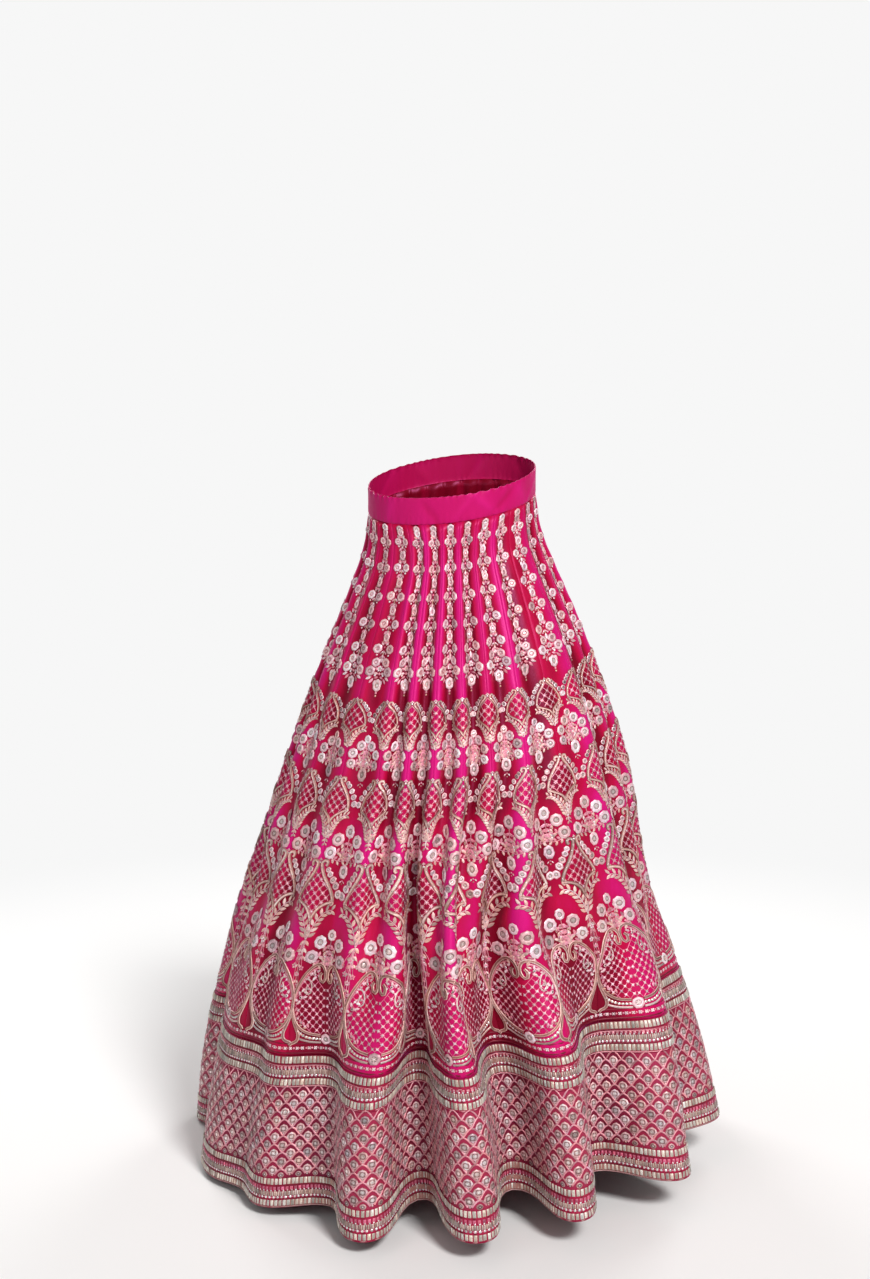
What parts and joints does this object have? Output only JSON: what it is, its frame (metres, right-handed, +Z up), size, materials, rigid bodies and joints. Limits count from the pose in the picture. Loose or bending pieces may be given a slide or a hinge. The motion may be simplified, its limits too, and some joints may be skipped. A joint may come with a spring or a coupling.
{
  "type": "lehenga skirt",
  "caption": "Full-length flared lehenga skirt of pink satin gores on a plain waistband, embroidered all over, with a wide lattice border, worn shape",
  "frame": {"origin": "centre of the waist opening, at half the height of the waistband", "axes": "+Z up along the body, front of the skirt toward -Y, +X to the right seen from the front"},
  "size_m": [0.8858, 0.8803, 1.1614],
  "materials": {
    "satin": "pink satin, embroidered",
    "border": "satin under a sequin and thread lattice",
    "trim": "beaded trim, silver and pink",
    "waistband": "plain pink satin"
  },
  "bodies": {
    "root": {"kali_01": "satin", "kali_02": "satin", "kali_03": "satin", "kali_04": "satin", "kali_05": "satin", "kali_06": "satin", "kali_07": "satin", "kali_08": "satin", "kali_09": "satin", "kali_10": "satin", "kali_11": "satin", "kali_12": "satin", "kali_13": "satin", "kali_14": "satin", "kali_15": "satin", "kali_16": "satin", "kali_17": "satin", "kali_18": "satin", "kali_19": "satin", "kali_20": "satin", "kali_21": "satin", "kali_22": "satin", "kali_23": "satin", "kali_24": "satin", "kali_25": "satin", "kali_26": "satin", "border_front": "border", "top_trim_front": "trim", "hem_trim_front": "trim", "border_right": "border", "top_trim_right": "trim", "hem_trim_right": "trim", "border_back": "border", "top_trim_back": "trim", "hem_trim_back": "trim", "border_left": "border", "top_trim_left": "trim", "hem_trim_left": "trim", "waistband_front": "waistband", "waistband_back": "waistband"}
  },
  "joints": []
}
